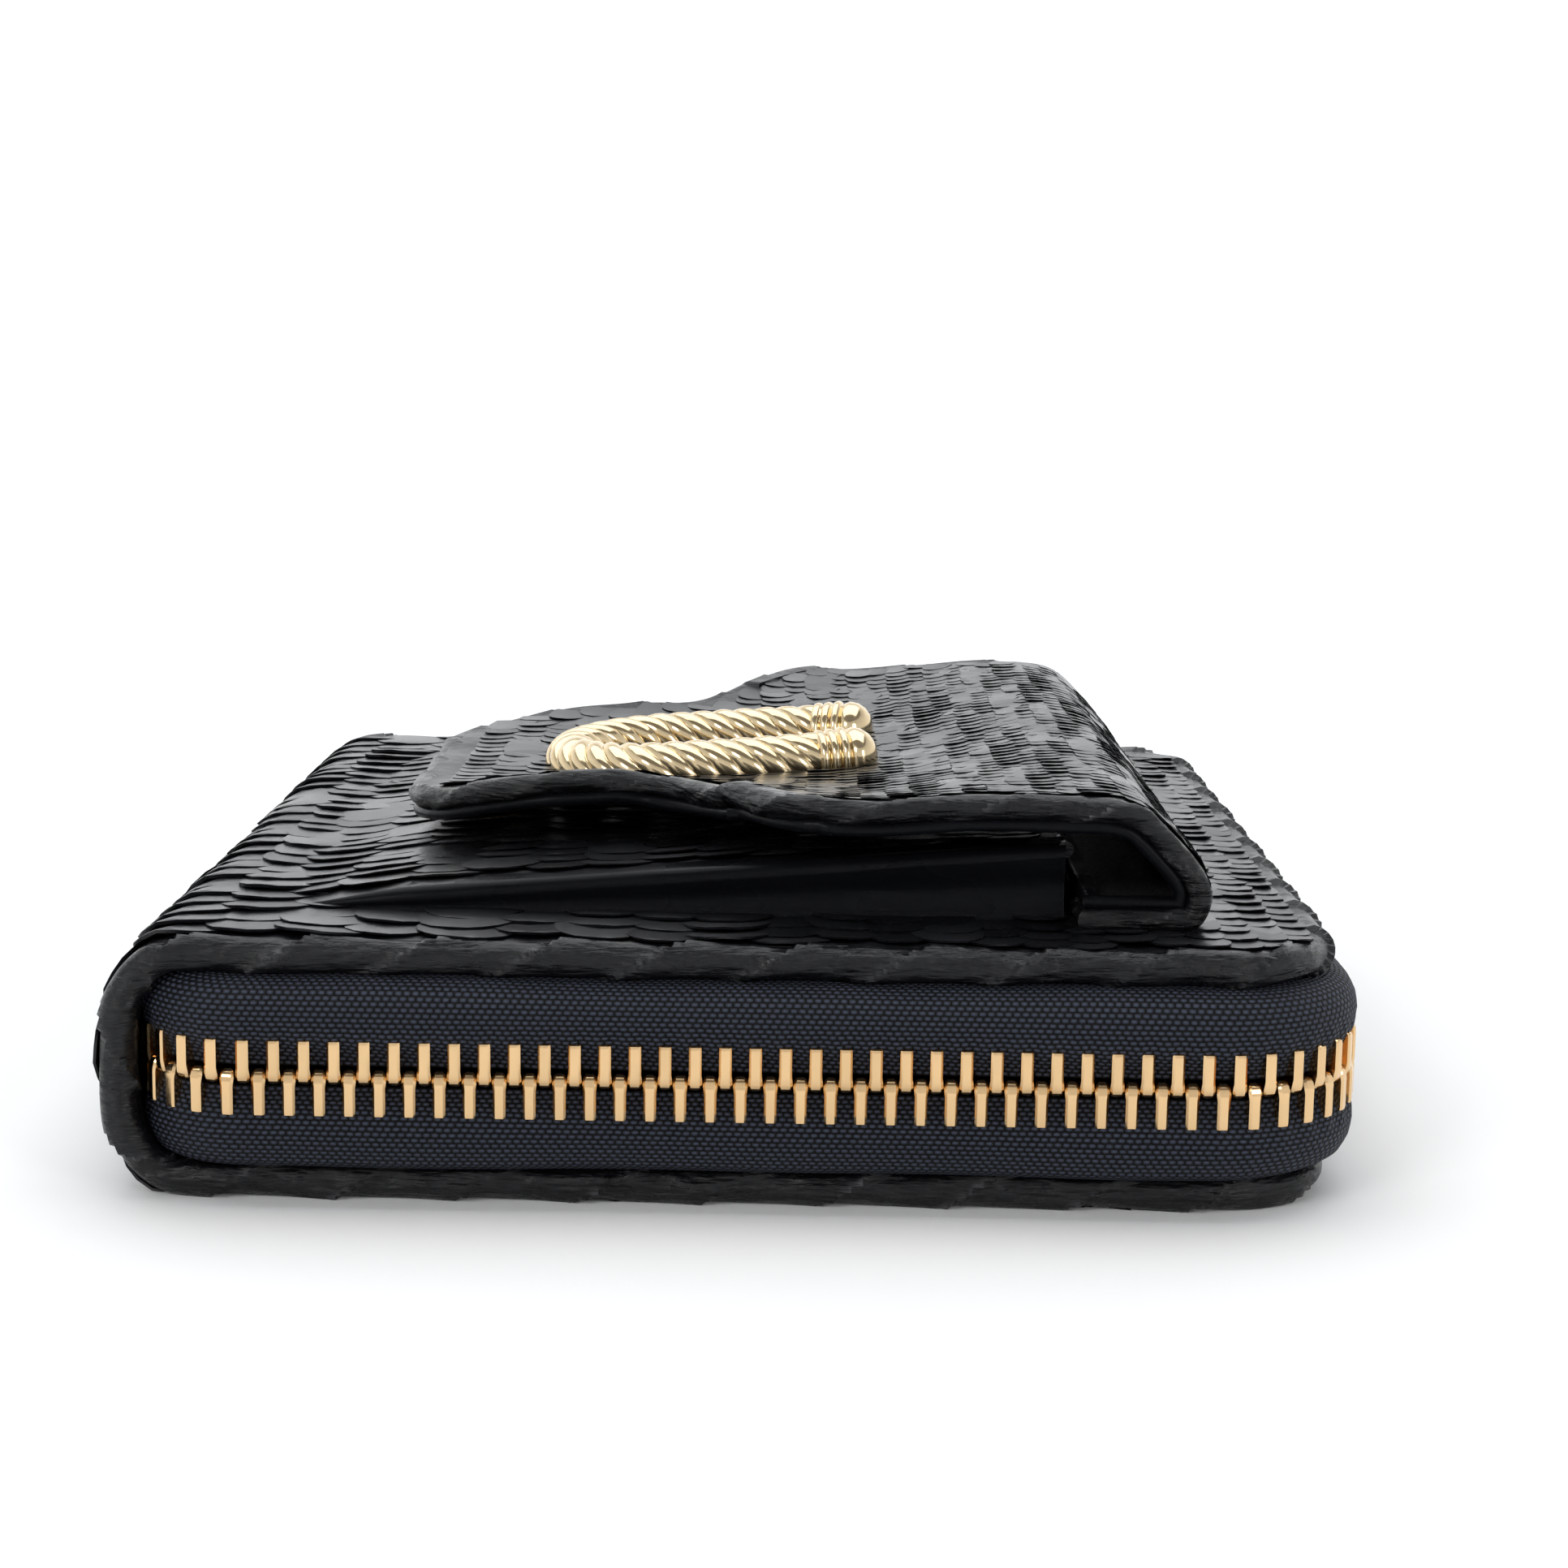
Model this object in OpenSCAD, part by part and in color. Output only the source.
// Zip around wallet in scaled leather, with a flap pocket and a rope emblem on its front cover.
// Frame: millimetres, +Z up through the front cover, the spine on the -X side, the long zip side
// on the +X side. The origin is the middle of the flat back that the wallet lies on.

/* [Body] */
// Width from the outside of the spine to the free edge of the covers
cover_w = 97.5; // [80:0.5:120]
// Length of the covers along the spine
cover_l = 107.4; // [98:0.2:140]
// Thickness of the closed body, without the pocket and the flap
body_t = 20.5; // [18:0.1:30]
// Corner radius of the covers at the free edge
corner_r = 10.7; // [6:0.1:16]
// Radius of the spine's two bends
spine_r = 6.5; // [4:0.1:8]

/* [Leather and board] */
// Thickness of the outer leather
leather_t = 1.2; // [0.8:0.1:1.8]
// Thickness of the stiffening board
board_t = 0.8; // [0.5:0.1:1.5]
// Thickness of the lining
lining_t = 0.6; // [0.4:0.1:1]
// Width of the turned edge that closes the board in
turn_w = 1.6; // [1:0.1:3]

/* [Zip] */
// Distance from tooth to tooth in one row
tooth_pitch = 2.31; // [2:0.01:3.2]
// Width of one tooth along the row
tooth_w = 0.9; // [0.6:0.05:0.95]
// Thickness of one tooth across the tape
tooth_t = 2.6; // [1.8:0.1:3]
// Height of the closed chain
chain_h = 6; // [5:0.1:8]
// Height over which the two rows mesh
mesh_h = 0.9; // [0.5:0.1:1.2]
// Thickness of the zip tape
tape_t = 0.7; // [0.5:0.1:1]
// Distance from the cover's edge out to the tape's inner face
tape_out = 0.6; // [0.3:0.1:1.5]
// Width of the tape that is sewn in under the cover
tape_sewn = 3; // [2:0.1:5]
// Distance from the outside of the spine to the first tooth
tooth_start = 8; // [8:0.5:14]

/* [Slider and puller] */
// Length of the slider along the chain
slider_l = 10; // [8:0.5:12]
// Thickness of each of the slider's wings
wing_t = 1; // [0.8:0.1:1.4]
// Clearance between the slider and the chain
slider_gap = 0.15; // [0.1:0.05:0.3]
// Length of the puller from its pin to its end
puller_l = 24; // [18:1:30]
// Width of the puller
puller_w = 5.6; // [5:0.1:8]
// Thickness of the puller
puller_t = 1.1; // [0.9:0.1:1.3]

/* [Inside] */
// Thickness of one card slot's leather
slot_t = 0.6; // [0.4:0.1:0.8]
// Distance from the cover's ends to the card slots
slot_margin = 10.2; // [8.7:0.1:14]
// Step from one card slot's mouth to the next
slot_step = 12; // [8:0.5:14]
// Thickness of the divider's core board
divider_core_t = 0.6; // [0.4:0.1:1]
// Thickness of the leather on each side of the divider
divider_skin_t = 0.3; // [0.2:0.1:0.5]
// Length of the side gussets from the spine towards the zip
gusset_l = 60; // [40:1:70]
// Depth of a gusset's pleat
gusset_pleat = 3.5; // [2:0.5:5]
// Thickness of the gusset's leather
gusset_t = 0.6; // [0.4:0.1:0.8]

/* [Flap pocket] */
// Length of the pocket from its closed end to its mouth
pocket_l = 64.5; // [50:0.5:66]
// Distance from the cover's ends to the front pocket
pocket_margin = 11.7; // [9.7:0.1:18]
// Height of the gap at the pocket's mouth
pocket_gap = 4.8; // [4.5:0.1:6]
// Distance from the outside of the spine to the pocket's closed end
pocket_start = 12; // [10:0.5:14]
// Thickness of the pocket's front leather
pocket_t = 0.8; // [0.6:0.1:1.2]
// Thickness of the pocket's lining
pocket_lining_t = 0.4; // [0.3:0.1:0.6]

/* [Flap] */
// Height of the flap's fold above the front cover
flap_h = 10.7; // [10:0.1:14]
// Distance from the outside of the spine to the outside of the fold
fold_x = 89.3; // [86:0.1:92]
// Distance from the cover's ends to the flap
flap_margin = 7.7; // [4.7:0.1:14]
// Width of the flap's tongue
tongue_w = 55; // [44:0.5:70]
// Length of the wide part of the flap from its fold
shoulder_l = 34; // [26:0.5:40]
// Length of the flap from its fold to its tip
flap_l = 67; // [60:0.5:72]
// Corner radius of the tongue's tip
tip_r = 15; // [8:0.5:20]
// Radius of the curves at the flap's shoulders
shoulder_r = 4; // [2:0.5:6]
// Height of the tongue's tip above the front cover
tip_h = 5.2; // [5:0.1:6]
// Thickness of the flap's outer leather
flap_skin_t = 0.9; // [0.6:0.1:1.2]
// Thickness of the flap's padding
flap_core_t = 0.6; // [0.4:0.1:0.8]
// Thickness of the flap's lining
flap_lining_t = 0.7; // [0.5:0.1:1]
// Distance from the pocket's mouth to the flap's base strip
base_gap = 4.6; // [4.5:0.1:6]

/* [Emblem and snap] */
// Length of the emblem across the flap
emblem_l = 31.6; // [24:0.1:38]
// Width of the emblem along the spine
emblem_w = 24; // [20:0.1:30]
// Diameter of the emblem's rope
rope_d = 4.8; // [3:0.1:5.5]
// Distance from the flap's fold to the middle of the emblem
emblem_x = 38; // [34:0.5:42]
// Diameter of the emblem's two posts
post_d = 1.6; // [1:0.1:2]
// Clear distance between the washer of the emblem's post and the snap
snap_clear = 0.4; // [0.3:0.1:2]
// Outer diameter of the snap
snap_d = 9; // [7:0.5:12]
// Diameter of the snap's stud
stud_d = 2.6; // [2:0.1:3.4]
// Clearance around the snap's stud and the emblem's posts
fit_gap = 0.1; // [0.05:0.05:0.2]

/* [Hidden] */
$fn = 96;

mid_z = body_t / 2;
spine_x = -50;
edge_x = spine_x + cover_w;
bend_x = spine_x + spine_r;
half_l = cover_l / 2;
build_t = leather_t + board_t + lining_t;
chain_out = tape_out + tape_t / 2;
tooth_reach = chain_h / 2;
cut = 1;

// The inside, counted from the middle of the body outwards.
divider_t = divider_core_t + 2 * divider_skin_t;
divider_start = 3;
divider_inset = 5;
slot_l = cover_l - 2 * slot_margin;
pocket_w = cover_l - 2 * pocket_margin;
flap_w = cover_l - 2 * flap_margin;
divider_l = slot_l + 4;
gusset_y = slot_l / 2 + 4.5;
gusset_start = 8;
slot_start = 14;
slot_mouth = 11;
slot_r = 3;

// The flap's fold is a half ring, and its hinge line is on the outside of the ring at half height.
flap_t = flap_skin_t + flap_core_t + flap_lining_t;
fold_r = flap_h / 2;
fold_cx = spine_x + fold_x - fold_r;
fold_cz = body_t + fold_r;
flap_slope = asin((flap_h - tip_h) / flap_l);
pocket_x = spine_x + pocket_start;
pocket_slope = asin(pocket_gap / pocket_l);
mouth_x = pocket_x + pocket_l * cos(pocket_slope);
base_x = mouth_x + base_gap;
pocket_wall_t = 0.8;

rope_leg_y = (emblem_w - rope_d) / 2;
rope_leg_l = emblem_l - rope_d - rope_leg_y;
finial_l = 3;
post_inset = 3;
washer_d = post_d + 2.4;
snap_x = emblem_x + emblem_l / 2 - post_inset + washer_d / 2 + snap_clear + snap_d / 2;

slider_x = spine_x + 9.5;
slider_h = chain_h + 2.4;
flange_t = 0.9;
flange_gap = 0.2;
wedge_h = 1;
wedge_l = 2.4;
chain_face_y = half_l + chain_out + tooth_t / 2;
wing_y = chain_face_y + slider_gap;
pin_d = 1.1;
pin_clear = 0.2;
pin_y = wing_y + wing_t + pin_clear + pin_d / 2;
bridge_w = 1.6;
bridge_l = 8;
bridge_bar = 1;
arm_w = 1.1;
window_l = bridge_l / 2 + 1.4;

// The cover's outline, moved in by inset, or out where inset is negative.
module cover_outline(inset, start_x = bend_x) {
    r = corner_r - inset;
    x1 = edge_x - inset;
    y1 = half_l - inset;
    translate([start_x, -y1]) square([x1 - r - start_x, 2 * y1]);
    translate([x1 - r - cut, r - y1]) square([r + cut, 2 * (y1 - r)]);
    for (side = [-1, 1]) translate([x1 - r, side * (y1 - r)]) circle(r);
}

// A band that follows the covers' three free sides, between two insets.
module edge_band(outer_inset, inner_inset, start_x = bend_x) {
    difference() {
        cover_outline(outer_inset, start_x);
        cover_outline(inner_inset, start_x - cut);
    }
}

module slab(z, t) {
    translate([0, 0, z]) linear_extrude(t) children();
}

// A profile drawn in X and Z, extruded along Y over a length that is centred.
module across(length) {
    translate([0, length / 2, 0]) rotate([90, 0, 0]) linear_extrude(length) children();
}

module mirror_top() {
    translate([0, 0, body_t]) mirror([0, 0, 1]) children();
}

// Covers

module cover_leather() {
    slab(0, leather_t) cover_outline(0);
}

module cover_board() {
    slab(leather_t, board_t) cover_outline(turn_w);
}

module cover_lining() {
    slab(leather_t + board_t, lining_t) cover_outline(turn_w);
}

module cover_turned_edge() {
    slab(leather_t, board_t + lining_t) edge_band(0, turn_w);
}

module spine_shape(inset) {
    r = spine_r - inset;
    x0 = spine_x + inset;
    for (z = [spine_r, body_t - spine_r]) translate([bend_x, z]) circle(r);
    translate([x0, spine_r]) square([r, body_t - 2 * spine_r]);
    translate([bend_x - cut, inset]) square([2 * cut, body_t - 2 * inset]);
}

module spine_half(outer_inset, inner_inset) {
    across(cover_l) intersection() {
        difference() {
            spine_shape(outer_inset);
            spine_shape(inner_inset);
        }
        translate([spine_x - cut, -cut]) square([spine_r + cut, mid_z + cut]);
    }
}

module spine_leather_half() {
    spine_half(0, leather_t);
}

module spine_lining_half() {
    spine_half(leather_t, leather_t + lining_t);
}

module back_leather() { color("#17171b") cover_leather(); }
module back_board() { color("#8a7a62") cover_board(); }
module back_lining() { color("#2a2320") cover_lining(); }
module back_turned_edge() { color("#202026") cover_turned_edge(); }
module spine_lower() { color("#17171b") spine_leather_half(); }
module spine_lining_lower() { color("#2a2320") spine_lining_half(); }
module front_leather() { color("#17171b") mirror_top() cover_leather(); }
module front_board() { color("#8a7a62") mirror_top() cover_board(); }
module front_lining() { color("#2a2320") mirror_top() cover_lining(); }
module front_turned_edge() { color("#202026") mirror_top() cover_turned_edge(); }
module spine_upper() { color("#17171b") mirror_top() spine_leather_half(); }
module spine_lining_upper() { color("#2a2320") mirror_top() spine_lining_half(); }

// Zip

module tape_half() {
    wall_h = mid_z - tooth_reach - build_t;
    slab(build_t, tape_t) edge_band(-tape_out - tape_t, tape_sewn - tape_out - tape_t);
    slab(build_t, wall_h) edge_band(-tape_out - tape_t, -tape_out);
}

// Length of the chain's centre line along each stretch, and a point on it.
chain_r = corner_r + chain_out;
side_l = edge_x - corner_r - spine_x - tooth_start;
long_l = cover_l - 2 * corner_r;
arc_l = chain_r * PI / 2;
chain_l = 2 * side_l + 2 * arc_l + long_l;

module place_on_chain(s) {
    x0 = spine_x + tooth_start;
    xc = edge_x - corner_r;
    yc = half_l - corner_r;
    y1 = half_l + chain_out;
    s1 = s - side_l;
    s2 = s1 - arc_l;
    s3 = s2 - long_l;
    s4 = s3 - arc_l;
    if (s1 < 0) translate([x0 + s, -y1, 0]) children();
    else if (s2 < 0) translate([xc, -yc, 0]) rotate(90 * s1 / arc_l) translate([0, -chain_r, 0]) children();
    else if (s3 < 0) translate([xc + chain_r, s2 - yc, 0]) rotate(90) children();
    else if (s4 < 0) translate([xc, yc, 0]) rotate(90 + 90 * s3 / arc_l) translate([0, -chain_r, 0]) children();
    else translate([xc - s4, y1, 0]) rotate(180) children();
}

// One row of teeth. Each tooth is a block that meets the tape's edge and reaches past the middle.
module tooth_row(first) {
    reach = mesh_h / 2;
    for (s = [first * tooth_pitch : tooth_pitch : chain_l - tooth_pitch])
        place_on_chain(s)
            translate([-tooth_w / 2, -tooth_t / 2, mid_z - tooth_reach])
                cube([tooth_w, tooth_t, tooth_reach + reach]);
}

module end_stop(side) {
    stop_l = 2;
    stop_h = tooth_reach - wedge_h - fit_gap;
    x0 = spine_x + tooth_start - tooth_pitch - stop_l / 2;
    translate([x0, side * (half_l + chain_out) - tooth_t / 2, mid_z - tooth_reach])
        cube([stop_l, tooth_t, stop_h]);
}

module zip_tape_lower() { color("#14161f") tape_half(); }
module zip_tape_upper() { color("#14161f") mirror_top() tape_half(); }
module zip_teeth_lower() { color("#d8bd84") tooth_row(0); }
module zip_teeth_upper() { color("#d8bd84") mirror_top() tooth_row(0.5); }
module zip_bottom_stop() { color("#d8bd84") end_stop(-1); }
module zip_top_stop_lower() { color("#d8bd84") end_stop(1); }
module zip_top_stop_upper() { color("#d8bd84") mirror_top() end_stop(1); }

// Slider: two wings with the chain between them, each with a lip under the lower row's edge,
// joined at the closing end by the wedge that parts the rows.
module slider_body() {
    lower_z = mid_z - slider_h / 2;
    tape_y = half_l + tape_out;
    inner_y = chain_face_y - tooth_t - slider_gap - wing_t;
    outer_lip_y = tape_y + tape_t + flange_gap;
    color("#d8bd84") translate([slider_x - slider_l / 2, 0, lower_z]) {
        translate([0, wing_y, 0]) cube([slider_l, wing_t, slider_h]);
        translate([0, inner_y, 0]) cube([slider_l, wing_t, slider_h]);
        translate([0, outer_lip_y, 0]) cube([slider_l, wing_y - outer_lip_y, flange_t]);
        translate([0, inner_y, 0]) cube([slider_l, tape_y - flange_gap - inner_y, flange_t]);
        translate([0, wing_y, slider_h / 2]) rotate([90, 0, 0]) linear_extrude(wing_y - inner_y - wing_t)
            polygon([[0, -wedge_h], [wedge_l / 2, -wedge_h], [wedge_l, 0], [wedge_l / 2, wedge_h], [0, wedge_h]]);
    }
}

module slider_bridge() {
    rise = pin_clear + pin_d + pin_clear;
    color("#d8bd84") translate([slider_x - bridge_l / 2, wing_y + wing_t, mid_z - bridge_w / 2])
        difference() {
            cube([bridge_l, rise + bridge_bar, bridge_w]);
            translate([bridge_bar, -cut, -cut]) cube([bridge_l - 2 * bridge_bar, rise + cut, bridge_w + 2 * cut]);
        }
}

module puller() {
    hole_d = 3;
    end_d = puller_w;
    color("#d8bd84") translate([slider_x, pin_y, mid_z]) {
        translate([0, 0, -puller_w / 2]) cylinder(h = puller_w, d = pin_d);
        for (side = [0, 1])
            mirror([0, 0, side])
                translate([0, -puller_t / 2, puller_w / 2 - arm_w]) cube([window_l + cut, puller_t, arm_w]);
        rotate([90, 0, 0]) translate([0, 0, -puller_t / 2]) linear_extrude(puller_t) difference() {
            union() {
                translate([window_l, -puller_w / 2]) square([puller_l - end_d / 2 - window_l, puller_w]);
                translate([puller_l - end_d / 2, 0]) circle(d = end_d);
            }
            translate([puller_l - end_d / 2, 0]) circle(d = hole_d);
        }
    }
}

// Inside: card slots, gussets and divider

module rounded_panel(x0, x1, length, r) {
    translate([x0, -length / 2]) square([x1 - r - x0, length]);
    translate([x1 - r - cut, r - length / 2]) square([r + cut, length - 2 * r]);
    for (side = [-1, 1]) translate([x1 - r, side * (length / 2 - r)]) circle(r);
}

module card_slot(number) {
    slab(build_t + (number - 1) * slot_t, slot_t)
        rounded_panel(
            spine_x + slot_start,
            edge_x - slot_mouth - (number - 1) * slot_step,
            slot_l,
            slot_r
        );
}

module gusset(side) {
    z0 = build_t;
    z2 = mid_z - divider_t / 2;
    z1 = (z0 + z2) / 2;
    y_in = gusset_y - gusset_pleat;
    fold = [
        [gusset_y, z0], [y_in, z1], [gusset_y, z2],
        [gusset_y - gusset_t, z2], [y_in - gusset_t, z1], [gusset_y - gusset_t, z0]
    ];
    translate([spine_x + gusset_start, 0, 0]) rotate([90, 0, 90]) linear_extrude(gusset_l)
        mirror([side < 0 ? 1 : 0, 0]) polygon(fold);
}

module divider_layer(z, t) {
    slab(z, t) rounded_panel(spine_x + divider_start, edge_x - divider_inset, divider_l, slot_r);
}

module back_card_slot_1() { color("#2b1f1b") card_slot(1); }
module back_card_slot_2() { color("#2b1f1b") card_slot(2); }
module back_card_slot_3() { color("#2b1f1b") card_slot(3); }
module front_card_slot_1() { color("#2b1f1b") mirror_top() card_slot(1); }
module front_card_slot_2() { color("#2b1f1b") mirror_top() card_slot(2); }
module front_card_slot_3() { color("#2b1f1b") mirror_top() card_slot(3); }
module near_gusset_lower() { color("#241c1a") gusset(-1); }
module far_gusset_lower() { color("#241c1a") gusset(1); }
module near_gusset_upper() { color("#241c1a") mirror_top() gusset(-1); }
module far_gusset_upper() { color("#241c1a") mirror_top() gusset(1); }
module divider_core() { color("#8a7a62") divider_layer(mid_z - divider_core_t / 2, divider_core_t); }
module divider_back_leather() { color("#2b1f1b") divider_layer(mid_z - divider_t / 2, divider_skin_t); }
module divider_front_leather() {
    color("#2b1f1b") divider_layer(mid_z + divider_core_t / 2, divider_skin_t);
}

// Flap pocket

// Places a piece on the pocket's slope: local X runs from the closed end up to the mouth, and
// local Z = 0 is the under side of the pocket's lining.
module on_pocket() {
    translate([pocket_x, 0, body_t]) rotate([0, -pocket_slope, 0]) children();
}

module pocket_panel(z, t) {
    on_pocket() translate([0, -pocket_w / 2, z]) cube([pocket_l, pocket_w, t]);
}

module pocket_wall(y) {
    wall = [[pocket_x, body_t], [mouth_x, body_t], [mouth_x, body_t + pocket_gap]];
    translate([0, y, 0]) across(pocket_wall_t) polygon(wall);
}

module pocket_front() { color("#17171b") pocket_panel(pocket_lining_t, pocket_t); }
module pocket_lining() { color("#2a2320") pocket_panel(0, pocket_lining_t); }
module pocket_gusset_near() { color("#0e0e11") pocket_wall((pocket_wall_t - pocket_w) / 2); }
module pocket_gusset_far() { color("#0e0e11") pocket_wall((pocket_w - pocket_wall_t) / 2); }

// Flap

// Places a piece on the flap's slope: local X = 0 is the end of the fold and runs back towards
// the tip below zero, and local Z = 0 is the flap's outer face.
module on_flap() {
    translate([fold_cx, 0, fold_cz]) rotate([0, -flap_slope, 0]) translate([0, 0, fold_r]) children();
}

arc_steps = 12;
function arc(cx, cy, r, a0, a1) = [
    for (i = [0 : arc_steps])
        let (a = a0 + (a1 - a0) * i / arc_steps)
        [cx + r * cos(a), cy + r * sin(a)]
];

// Half of the flap's outline, from the fold past the shoulder to the tongue's tip.
function flap_side() =
    let (
        half_w = flap_w / 2,
        half_t = tongue_w / 2,
        r = min(shoulder_r, (half_w - half_t) / 2)
    )
    concat(
        [[fold_r + cut, half_w]],
        arc(-shoulder_l + r, half_w - r, r, 90, 180),
        arc(-shoulder_l - r, half_t + r, r, 0, -90),
        arc(-flap_l + tip_r, half_t - tip_r, tip_r, 90, 180)
    );

module flap_outline() {
    side = flap_side();
    last = len(side) - 1;
    polygon(concat(side, [for (i = [last : -1 : 0]) [side[i][0], -side[i][1]]]));
}

post_x = [-emblem_x - emblem_l / 2 + post_inset, -emblem_x + emblem_l / 2 - post_inset];
function post_y(i) = i == 0 ? [0] : [-rope_leg_y, rope_leg_y];

module post_holes() {
    for (i = [0, 1]) for (y = post_y(i))
        translate([post_x[i], y, -flap_t - cut]) cylinder(h = flap_t + 2 * cut, d = post_d + 2 * fit_gap);
}

// One layer of the flap between two depths under its outer face, from the middle of the fold
// over to the tip.
module flap_layer(d0, d1) {
    profile = concat(
        arc(0, -fold_r, fold_r - d0, -flap_slope, 90),
        [[-flap_l - cut, -d0], [-flap_l - cut, -d1]],
        arc(0, -fold_r, fold_r - d1, 90, -flap_slope)
    );
    on_flap() difference() {
        intersection() {
            across(flap_w + 2 * cut) polygon(profile);
            translate([0, 0, -flap_h]) linear_extrude(flap_h + cut) flap_outline();
        }
        post_holes();
    }
}

// The lower half of the fold and the strip that is sewn to the cover.
module flap_base_layer(d0, d1) {
    profile = concat(
        arc(fold_cx, fold_cz, fold_r - d0, 0, -90),
        [[base_x, body_t + d0], [base_x, body_t + d1]],
        arc(fold_cx, fold_cz, fold_r - d1, -90, 0)
    );
    across(flap_w) polygon(profile);
}

module flap_base_leather() { color("#17171b") flap_base_layer(0, flap_skin_t + flap_core_t); }
module flap_base_lining() { color("#2a2320") flap_base_layer(flap_skin_t + flap_core_t, flap_t); }
module flap_leather() { color("#17171b") flap_layer(0, flap_skin_t); }
module flap_padding() { color("#5b5148") flap_layer(flap_skin_t, flap_skin_t + flap_core_t); }
module flap_lining() { color("#2a2320") flap_layer(flap_skin_t + flap_core_t, flap_t); }

// Snap

socket_h = 0.8;
stud_h = 0.8;
stud_base_h = 0.2;

module snap_socket() {
    top = pocket_lining_t + pocket_t;
    snap_world_x = fold_cx - snap_x * cos(flap_slope);
    x0 = (snap_world_x - pocket_x) / cos(pocket_slope);
    color("#b9a06b") on_pocket() translate([x0, 0, top]) difference() {
        cylinder(h = socket_h, d = snap_d);
        translate([0, 0, -cut]) cylinder(h = socket_h + 2 * cut, d = stud_d + 1);
    }
}

module snap_stud() {
    color("#b9a06b") on_flap() translate([-snap_x, 0, -flap_t]) mirror([0, 0, 1]) {
        cylinder(h = stud_base_h, d = snap_d);
        cylinder(h = stud_h, d = stud_d);
    }
}

// Emblem: a loop of rope with its two ends whipped, on three posts through the flap.

module on_emblem() {
    on_flap() translate([-emblem_x, 0, rope_d / 2]) children();
}

leg_end_x = emblem_l / 2 - finial_l;
bow_x = -emblem_l / 2 + rope_d / 2 + rope_leg_y;

module emblem_rope() {
    color("#d9c08a") on_emblem() {
        translate([bow_x, 0, 0]) rotate(90) rotate_extrude(angle = 180) translate([rope_leg_y, 0]) circle(d = rope_d);
        for (side = [-1, 1])
            translate([bow_x, side * rope_leg_y, 0]) rotate([0, 90, 0]) cylinder(h = leg_end_x - bow_x, d = rope_d);
    }
}

module emblem_finials() {
    cap_d = rope_d;
    color("#d9c08a") on_emblem() for (side = [-1, 1])
        translate([leg_end_x, side * rope_leg_y, 0]) rotate([0, 90, 0])
            cylinder(h = finial_l, d1 = cap_d, d2 = cap_d * 0.7);
}

module emblem_posts() {
    washer_t = 0.3;
    color("#b9a06b") on_flap() for (i = [0, 1]) for (y = post_y(i)) translate([post_x[i], y, 0]) {
        translate([0, 0, -flap_t]) cylinder(h = flap_t, d = post_d);
        translate([0, 0, -flap_t - washer_t]) cylinder(h = washer_t, d = washer_d);
    }
}

back_leather();
back_board();
back_lining();
back_turned_edge();
spine_lower();
spine_lining_lower();
zip_tape_lower();
zip_teeth_lower();
zip_bottom_stop();
zip_top_stop_lower();
back_card_slot_1();
back_card_slot_2();
back_card_slot_3();
near_gusset_lower();
far_gusset_lower();
front_leather();
front_board();
front_lining();
front_turned_edge();
spine_upper();
spine_lining_upper();
zip_tape_upper();
zip_teeth_upper();
zip_top_stop_upper();
front_card_slot_1();
front_card_slot_2();
front_card_slot_3();
near_gusset_upper();
far_gusset_upper();
pocket_front();
pocket_lining();
pocket_gusset_near();
pocket_gusset_far();
snap_socket();
flap_base_leather();
flap_base_lining();
flap_leather();
flap_padding();
flap_lining();
snap_stud();
emblem_rope();
emblem_finials();
emblem_posts();
divider_core();
divider_back_leather();
divider_front_leather();
slider_body();
slider_bridge();
puller();
